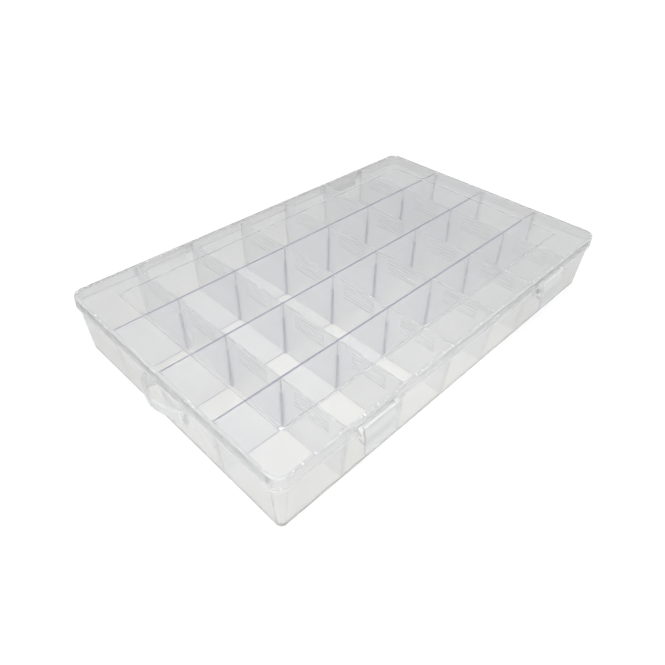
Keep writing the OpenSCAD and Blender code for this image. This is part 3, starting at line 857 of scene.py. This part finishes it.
def latch(name, x):
    """A latch with its barrel round the rod, x being its middle along the box."""
    low, high = x - LATCH_W / 2, x + LATCH_W / 2
    foot = PIVOT_Z - LATCH_DROP
    outline = [(-PIVOT_Y, PIVOT_Z - 0.8 * BARREL_R), (-PIVOT_Y + 0.7, PIVOT_Z + 0.2),
               (-PIVOT_Y + 1.0, PIVOT_Z + 1.5), (-PIVOT_Y + 1.6, PIVOT_Z + 1.2), (FACE, BEND),
               (FACE, foot + 2), (FACE + 0.8, foot), (FACE + 0.4 - LATCH_T, foot),
               (FACE - LATCH_T, foot + 2), (FACE - LATCH_T, HOOK_TOP - 2.7),
               (HOOK_TIP + 0.9, HOOK_TOP - 1.8), (HOOK_TIP, HOOK_TOP - 0.6),
               (HOOK_TIP, HOOK_TOP), (FACE - LATCH_T, HOOK_TOP),
               (FACE - LATCH_T, BEND - 0.3)]
    plate = prism("plate", [(-a, z) for a, z in outline], "x", low, high, soft=0.22, sharp=20)
    barrel = rod(name, PIVOT_Y, PIVOT_Z, BARREL_R, low, high, steps=40, soft=0.25)
    piece = combine(barrel, [plate])
    cut = prism("cut", [(-0.7, 0), (0.7, 0), (0.9, 2 * BARREL_R), (-0.9, 2 * BARREL_R)],
                "x", low - 1, high + 1, soft=0)
    cut.data.transform(Matrix.Translation((0, PIVOT_Y, PIVOT_Z))
                       @ Matrix.Rotation(math.radians(-30), 4, "X"))
    bore = rod("bore", PIVOT_Y, PIVOT_Z, PIVOT_R + SNAP, low - 1, high + 1)
    return combine(piece, [bore, cut], "DIFFERENCE")


for name, x in (("latch_left", -LATCH_X), ("latch_right", LATCH_X)):
    finish_mesh(latch(name + "_piece", x), name, [name], "latch_plastic", latch_plastic)

# %% [markdown]
# ## The dividers
#
# A divider is a thin plate with bars across it: guide ribs standing up on the long ones,
# and grip ridges lying near the top of the short ones. Placed by hand that would be more
# than a hundred and fifty bars. Both are one filleted bar repeated in a row, so a single
# Geometry Nodes tree makes them. It sweeps a rounded section along a line, puts copies on a
# row of points, and joins them to the plate with an exact boolean.

# %% Tree: a row of rounded bars across a plate
bar_row, bar_ids, inside, outside = geometry_tree("rounded bars across a plate", [
    ("Count", "NodeSocketInt"), ("Start", "NodeSocketVector"), ("Step", "NodeSocketVector"),
    ("Pair", "NodeSocketVector"), ("Run", "NodeSocketVector"), ("Width", "NodeSocketFloat"),
    ("Height", "NodeSocketFloat"), ("Fillet", "NodeSocketFloat"),
    ("Material", "NodeSocketMaterial")])
link = bar_row.links.new
section = add(bar_row, "GeometryNodeCurvePrimitiveQuadrilateral")
link(inside.outputs["Width"], section.inputs["Width"])
link(inside.outputs["Height"], section.inputs["Height"])
soften = add(bar_row, "GeometryNodeFilletCurve", {"Count": 3}, mode="POLY")
link(section.outputs[0], soften.inputs["Curve"])
link(inside.outputs["Fillet"], soften.inputs["Radius"])
spine = add(bar_row, "GeometryNodeCurvePrimitiveLine")
link(inside.outputs["Run"], spine.inputs["End"])
bar = add(bar_row, "GeometryNodeCurveToMesh", {"Fill Caps": True})
link(spine.outputs[0], bar.inputs["Curve"])
link(soften.outputs[0], bar.inputs["Profile Curve"])
line = add(bar_row, "GeometryNodeMeshLine")
link(inside.outputs["Count"], line.inputs["Count"])
link(inside.outputs["Start"], line.inputs["Start Location"])
link(inside.outputs["Step"], line.inputs["Offset"])
both = in_pairs(bar_row, inside, line)
points = add(bar_row, "GeometryNodeMergeByDistance", {"Distance": 0.01})
copies = add(bar_row, "GeometryNodeInstanceOnPoints")
link(both.outputs[0], points.inputs["Geometry"])
link(points.outputs[0], copies.inputs["Points"])
link(bar.outputs[0], copies.inputs["Instance"])
real = add(bar_row, "GeometryNodeRealizeInstances")
seams = add(bar_row, "GeometryNodeMergeByDistance", {"Distance": 0.001})
weld = add(bar_row, "GeometryNodeMeshBoolean", operation="UNION", solver="EXACT")
dress = add(bar_row, "GeometryNodeSetMaterial")
link(copies.outputs[0], real.inputs[0])
link(real.outputs[0], seams.inputs["Geometry"])
link(seams.outputs[0], weld.inputs["Mesh 2"])
link(inside.outputs["Geometry"], weld.inputs["Mesh 2"])
link(weld.outputs[0], dress.inputs["Geometry"])
link(inside.outputs["Material"], dress.inputs["Material"])
link(dress.outputs[0], outside.inputs[0])
print(bar_row.name, "has", len(bar_row.nodes), "nodes")

# %% [markdown]
# ## The three long dividers
#
# They run from end to end and carry the ribs that hold the short ones. They are faintly
# violet, and light that runs up inside a tinted sheet comes out at its edges and ribs with
# more colour. A thicker tint everywhere would make the faces too dark, so that deeper colour
# is painted on: the upper and lower edges and the rib tips get a darker violet as painted
# shade. Beyond the panel the lid has rubbed the top edge white.

# %% Make the long dividers
ROUND = 2.0
LONG_RIB_T, LONG_RIB_D, LONG_RIB_H = 1.0, 1.1, 32.0


def wall_edge(half):
    """The edge of a divider that follows a wall, from the floor up."""
    low = half - WALL - lean_in(DIV_LOW) - END_GAP
    mid = half - WALL - lean_in(DIV_LOW + ROUND) - END_GAP
    top = half - WALL - END_GAP
    corner = [(low - ROUND + ROUND * math.sin(math.radians(a)),
               DIV_LOW + ROUND - ROUND * math.cos(math.radians(a))) for a in (0, 22, 45, 68)]
    return corner + [(mid, DIV_LOW + ROUND), (top, LEDGE_Z), (top, DIV_TOP)]


def copy_of(piece, name, matrix):
    """A copy of the piece with the matrix worked into its mesh."""
    mesh = piece.data.copy()
    mesh.transform(matrix)
    other = bpy.data.objects.new(name, mesh)
    bpy.context.scene.collection.objects.link(other)
    return other


edge = wall_edge(RIM_L / 2)
plate = prism("long plate", edge + [(-a, z) for a, z in edge[::-1]], "y",
              -LONG_T / 2, LONG_T / 2, soft=0.3, steps=3)
run_tree(plate, bar_row, bar_ids, {
    "Count": COLS - 1, "Start": (-(COLS - 2) / 2 * PITCH_X, 0, DIV_LOW + 0.02),
    "Step": (PITCH_X, 0, 0), "Pair": (SHORT_T + 2 * SLOT + LONG_RIB_T, 0, 0),
    "Run": (0, 0, LONG_RIB_H), "Width": LONG_RIB_T, "Height": LONG_T + 2 * LONG_RIB_D,
    "Fillet": 0.28, "Material": violet_plastic})
split_at(plate, 0, (-PANEL_X, PANEL_X))


def long_finishes_and_painted_shade(middle):
    """The finishes and painted shade of a long divider whose middle is at this y."""
    def upper_or_lower_edge(x, y, z):
        return z > DIV_TOP - 0.12 or z < DIV_LOW + 0.05

    def rib_tip(x, y, z):
        return abs(y - middle) > LONG_T / 2 + LONG_RIB_D - 0.05 and z < DIV_TOP - 8

    def end_of_top(x, y, z):
        return DIV_TOP - 0.32 < z < DIV_TOP - 0.02 and abs(x) > PANEL_X
    # Edges and rib tips get a darker violet as painted shade; the top beyond the panel is
    # rubbed.
    return [(upper_or_lower_edge, violet_edge_painted_shade), (rib_tip, violet_rib_painted_shade),
            (end_of_top, rubbed_plastic)]


for row, word in ((-1, "front"), (0, "middle"), (1, "back")):
    y = row * PITCH_Y
    piece = copy_of(plate, "long_plate_" + word, Matrix.Translation((0, y, 0)))
    finish_mesh(piece, "base", ["long_divider_" + word], "long_divider_plastic",
                violet_plastic, long_finishes_and_painted_shade(y))
drop(plate)

# %% [markdown]
# ## The twenty-four short dividers
#
# Those in the two outer rows follow the leaning wall at one end, and the inner ones are
# plain rectangles. Two plates are therefore enough, copied to their places, and a half turn
# makes the front row from the back one. Their grip ridges come from the same tree as the
# ribs. Top edge and ends were cut from the runner or rubbed, so they are duller. The foot,
# where a divider stands on the tray's floor, gets a dark grey painted shade.

# %% Make the short dividers
GRIP_L, GRIP_STEP, GRIP_H, GRIP_D, GRIP_DOWN = 28.0, 2.6, 0.9, 0.35, 3.45
GRIP = {"Count": 5, "Step": (0, 0, -GRIP_STEP), "Pair": (0, 0, 0), "Run": (0, GRIP_L, 0),
        "Width": SHORT_T + 2 * GRIP_D, "Height": GRIP_H, "Fillet": 0.14,
        "Material": divider_plastic}


def short_plate(outline, middle):
    """A short divider at x = 0, with its grip ridges round the middle."""
    plate = prism("short plate", outline, "x", -SHORT_T / 2, SHORT_T / 2, soft=0.25, steps=3)
    return run_tree(plate, bar_row, bar_ids,
                    {**GRIP, "Start": (0, middle - GRIP_L / 2, DIV_TOP - GRIP_DOWN)})


near = LONG_T / 2 + END_GAP
inner_plate = short_plate([(near, DIV_LOW), (PITCH_Y - near, DIV_LOW),
                           (PITCH_Y - near, DIV_TOP), (near, DIV_TOP)], PITCH_Y / 2)
outer_plate = short_plate([(PITCH_Y + near, DIV_LOW)] + wall_edge(RIM_W / 2)
                          + [(PITCH_Y + near, DIV_TOP)], 1.5 * PITCH_Y)
split_at(outer_plate, 1, (PANEL_Y,))
HALF_TURN = Matrix.Rotation(math.pi, 4, "Z")


def cut_edge(x, y, z):
    """The top edge and the two ends."""
    to_long = abs(abs(y) - round(abs(y) / PITCH_Y) * PITCH_Y) < near + 0.01
    to_wall = abs(y) > RIM_W / 2 - WALL - END_GAP - lean_in(z) - 0.03
    under_lid = z > DIV_TOP - 0.27 and abs(y) > PANEL_Y
    return z > DIV_TOP - 0.02 or under_lid or to_long or to_wall


def at_foot(x, y, z):
    """The lower edge, which stands on the tray's floor and gets a painted shade."""
    return z < DIV_LOW + 0.02


for col in range(1, COLS):
    x = (col - COLS / 2) * PITCH_X
    for row, source, matrix in (
            ("a", outer_plate, Matrix.Translation((x, 0, 0)) @ HALF_TURN),
            ("b", inner_plate, Matrix.Translation((x, -PITCH_Y, 0))),
            ("c", inner_plate, Matrix.Translation((x, 0, 0))),
            ("d", outer_plate, Matrix.Translation((x, 0, 0)))):
        name = f"{row}{col}"
        piece = copy_of(source, "short_plate_" + name, matrix)
        # The foot gets a dark grey painted shade; the top edge and ends are rubbed.
        finish_mesh(piece, "base", ["short_divider_" + name], "short_divider_plastic",
                    divider_plastic, [(cut_edge, rubbed_plastic), (at_foot, foot_painted_shade)])
drop(inner_plate)
drop(outer_plate)

# %% [markdown]
# ## The table
#
# The photograph shows the box on plain white. A backdrop that only glows would lose the
# box's shadow, and one that is only lit turns grey through the plastic. So the floor is lit
# like any matt surface and glows a little besides: for the camera up to full white, and for
# rays through the plastic as a soft pool of light that is strongest under the middle.

# %% The floor
TABLE_HALF, TABLE_Z = 9, -0.0004
TABLE_GREY, POOL_MIDDLE = 0.5, (-0.04, -0.02, 0.0)
POOL_NEAR, POOL_FAR, POOL_BRIGHT, POOL_DIM = 0.05, 0.19, 0.60, 0.30
WHITE_NEAR, WHITE_FAR, WHITE_LOW, WHITE_FULL = 0.4, 2.0, 0.56, 1.0
floor_mesh = bpy.data.meshes.new("floor")
floor_mesh.from_pydata([(x * TABLE_HALF, y * TABLE_HALF, TABLE_Z) for x, y in (
    (-1, -1), (1, -1), (1, 1), (-1, 1))], [], [(0, 1, 2, 3)])
floor = bpy.data.objects.new("floor", floor_mesh)
bpy.context.scene.collection.objects.link(floor)
floor_mat = bpy.data.materials.new("white table")
floor_mat.use_nodes = True
tree = floor_mat.node_tree
link, matt = tree.links.new, tree.nodes["Principled BSDF"]
matt.inputs["Base Color"].default_value = (TABLE_GREY, TABLE_GREY, TABLE_GREY, 1)
matt.inputs["Roughness"].default_value = 0.9
matt.inputs["Specular IOR Level"].default_value = 0.0
path = add(tree, "ShaderNodeLightPath")
through = add(tree, "ShaderNodeMath", operation="MAXIMUM")
link(path.outputs["Is Glossy Ray"], through.inputs[0])
link(path.outputs["Is Transmission Ray"], through.inputs[1])
where = add(tree, "ShaderNodeTexCoord")
away = add(tree, "ShaderNodeVectorMath", {1: POOL_MIDDLE}, operation="DISTANCE")
link(where.outputs["Object"], away.inputs[0])


def by_distance(near, far, near_value, far_value):
    """A value that changes with the distance from the middle of the pool of light."""
    fade = add(tree, "ShaderNodeMapRange", {"From Min": near, "From Max": far,
                                            "To Min": near_value, "To Max": far_value})
    link(away.outputs["Value"], fade.inputs["Value"])
    return fade.outputs["Result"]


dim = add(tree, "ShaderNodeMath", operation="MULTIPLY")
link(through.outputs[0], dim.inputs[0])
link(by_distance(POOL_NEAR, POOL_FAR, POOL_BRIGHT, POOL_DIM), dim.inputs[1])
glow = add(tree, "ShaderNodeMath", operation="MULTIPLY_ADD")
link(path.outputs["Is Camera Ray"], glow.inputs[0])
link(by_distance(WHITE_NEAR, WHITE_FAR, WHITE_LOW, WHITE_FULL), glow.inputs[1])
link(dim.outputs[0], glow.inputs[2])
matt.inputs["Emission Color"].default_value = (1, 1, 1, 1)
link(glow.outputs[0], matt.inputs["Emission Strength"])
floor_mesh.materials.append(floor_mat)
print("table of", 2 * TABLE_HALF, "m, material:", floor_mat.name)

# %% [markdown]
# ## The room and the lamp
#
# The plastic mirrors what is above it. An even white room would wipe out its edges, so the
# room is bright on the camera's side and falls off to dark grey on the far one, except low
# down, where the lid would turn black in views from the side. The camera itself sees white.
# One large soft lamp gives the faint shadow. A small one would leave grain, because its
# light finds its way through bent plastic only by chance.

# %% The room and the lamp
ROOM_COLOUR, TO_FAR_SIDE = (0.97, 0.985, 1.0), (0.61, 0.61, -0.51)
scene = bpy.context.scene
world = bpy.data.worlds.new("grey room")
scene.world = world
world.use_nodes = True
tree = world.node_tree
link, room = tree.links.new, tree.nodes["Background"]
room.inputs["Color"].default_value = (*ROOM_COLOUR, 1)
towards = add(tree, "ShaderNodeTexCoord")
far_side = add(tree, "ShaderNodeVectorMath", {1: TO_FAR_SIDE}, operation="DOT_PRODUCT")
fall = add(tree, "ShaderNodeMapRange", {
    "From Min": -0.6, "From Max": 0.8, "To Min": 0.95, "To Max": 0.2})
height = add(tree, "ShaderNodeSeparateXYZ")
low_wall = add(tree, "ShaderNodeMapRange", {
    "From Min": 0.05, "From Max": 0.35, "To Min": 0.8, "To Max": 0.25})
brighter = add(tree, "ShaderNodeMath", operation="MAXIMUM")
path = add(tree, "ShaderNodeLightPath")
level = add(tree, "ShaderNodeMapRange", {"To Max": 1.04})
link(towards.outputs["Generated"], far_side.inputs[0])
link(far_side.outputs["Value"], fall.inputs["Value"])
link(towards.outputs["Generated"], height.inputs[0])
link(height.outputs["Z"], low_wall.inputs["Value"])
link(fall.outputs["Result"], brighter.inputs[0])
link(low_wall.outputs["Result"], brighter.inputs[1])
link(brighter.outputs[0], level.inputs["To Min"])
link(path.outputs["Is Camera Ray"], level.inputs["Value"])
link(level.outputs["Result"], room.inputs["Strength"])


def lamp(name, place, aim, size, power):
    """A flat lamp at place, turned to aim, with its size in metres and power in watts."""
    light = bpy.data.lights.new(name, "AREA")
    light.shape = "RECTANGLE"
    light.size, light.size_y = size
    light.energy = power
    piece = bpy.data.objects.new(name, light)
    piece.location = place
    piece.rotation_euler = (Vector(aim) - Vector(place)).to_track_quat("-Z", "Y").to_euler()
    scene.collection.objects.link(piece)
    return piece


soft_lamp = lamp("soft lamp over the near corner", place=(-0.6, -0.5, 1.1), aim=(0, 0, 0),
                 size=(1.2, 1.2), power=6.4)
print("lamp:", soft_lamp.name, soft_lamp.data.energy, "W")

# %% [markdown]
# ## The camera
#
# The place and the turn were fitted to about sixty points of the photo, such as the
# crossings of the dividers and the corners of the lid. They are kept as the two directions
# and the point that the fit gave, since angles would hide that the picture is a little
# tilted.

# %% The camera
FOCAL, SENSOR = 30.7625, 36.0
CAMERA_AT = (-0.2709143, -0.2374978, 0.2830327)
TO_THE_RIGHT = (0.70442998, -0.70948477, 0.02024281)
TO_THE_BACK = (-0.54996008, -0.52756846, 0.64746848)
eye = bpy.data.cameras.new("camera")
eye.lens, eye.sensor_width = FOCAL, SENSOR
eye.clip_start = 0.01
camera = bpy.data.objects.new("camera", eye)
right, back = Vector(TO_THE_RIGHT).normalized(), Vector(TO_THE_BACK).normalized()
up = back.cross(right).normalized()
place = Matrix((right, up, back)).transposed().to_4x4()
place.translation = CAMERA_AT
camera.matrix_world = place
scene.collection.objects.link(camera)
scene.camera = camera
print("camera to the box's middle, m:", round(Vector(CAMERA_AT).length, 3))

# %% [markdown]
# ## Render settings that belong to the look
#
# A ray through this box can cross thirty faces before it reaches the table. Cycles stops a
# path after a set number of bounces and returns black, so the limits are raised. Standard
# view keeps colours as they are written.

# %% Finish
scene.view_settings.view_transform = "Standard"
WALLS_CROSSED, MIRRORINGS = 48, 12
scene.cycles.max_bounces = WALLS_CROSSED
scene.cycles.transmission_bounces = WALLS_CROSSED
scene.cycles.glossy_bounces = MIRRORINGS
scene.cycles.transparent_max_bounces = WALLS_CROSSED
bpy.context.view_layer.update()
